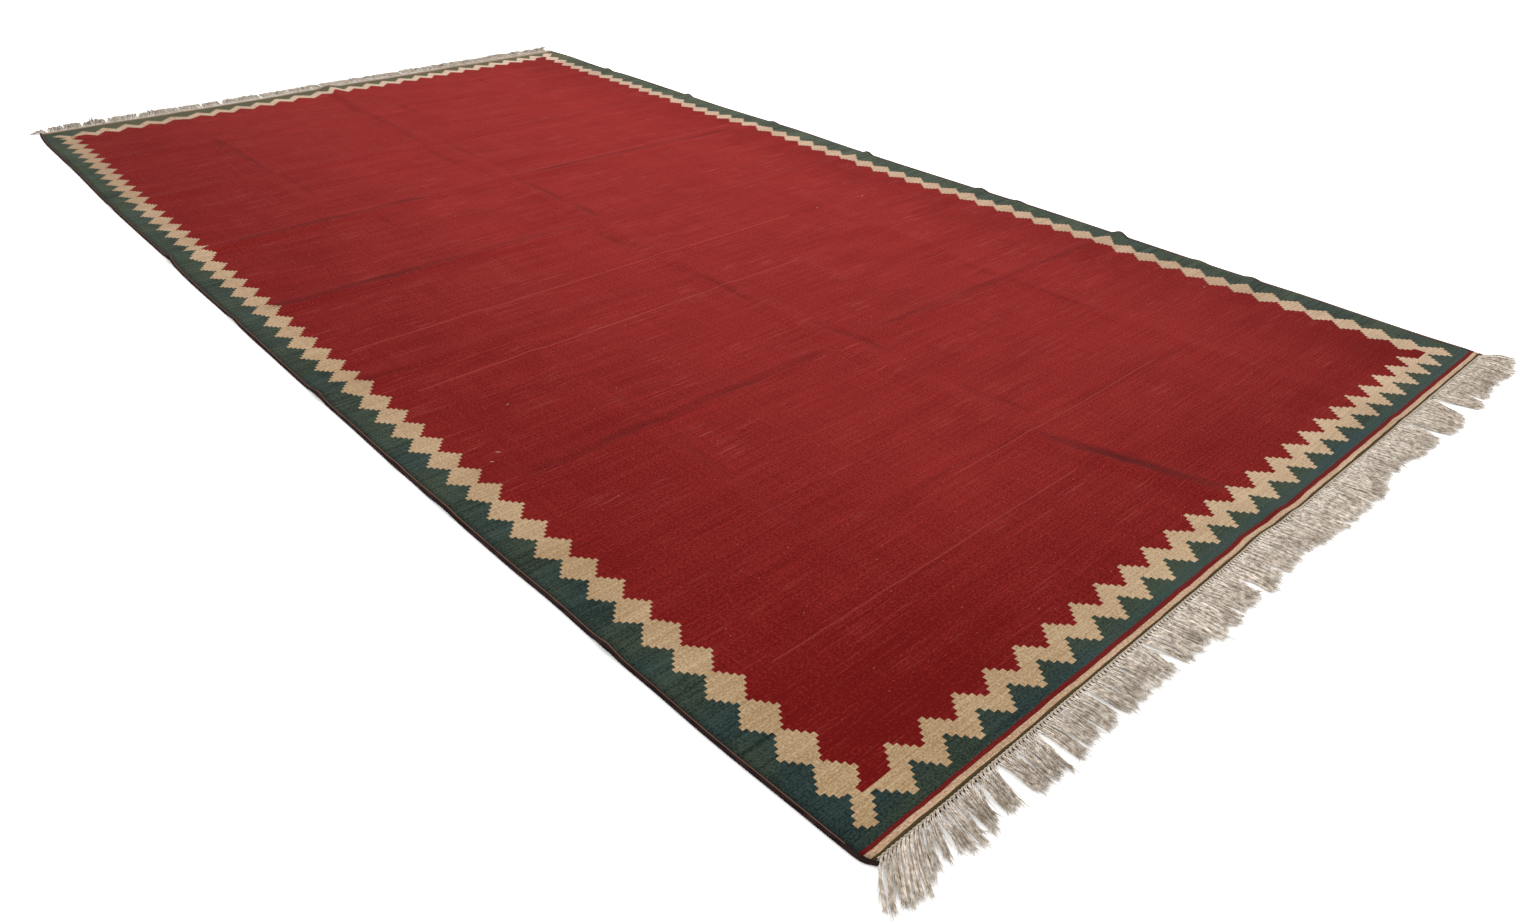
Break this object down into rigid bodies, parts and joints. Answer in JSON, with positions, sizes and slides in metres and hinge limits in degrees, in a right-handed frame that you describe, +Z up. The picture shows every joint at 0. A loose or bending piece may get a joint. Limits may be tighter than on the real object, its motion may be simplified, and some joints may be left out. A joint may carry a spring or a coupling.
{
  "type": "persian rug",
  "caption": "Large flat-woven kilim rug lying flat: plain red field, stepped cream border in a dark green band, overcast side cords and a plied warp fringe at both ends.",
  "frame": {"origin": "on the floor, under the middle of the rug's box with its fringe", "axes": "+Y along the rug's length from the near end to the far end, +X across it to the right, +Z up from the floor"},
  "size_m": [2.0677, 3.994, 0.0146],
  "materials": {
    "woven_wool": "weft-faced wool, dyed madder red with a cream and dark green border",
    "selvedge_wool": "dark brown wool wrapping",
    "warp_cotton": "undyed grey beige plied warp yarn"
  },
  "bodies": {
    "root": {"kilim_ground": "woven_wool", "selvedge_left": "selvedge_wool", "selvedge_right": "selvedge_wool", "fringe_near": "warp_cotton", "fringe_far": "warp_cotton"}
  },
  "joints": []
}
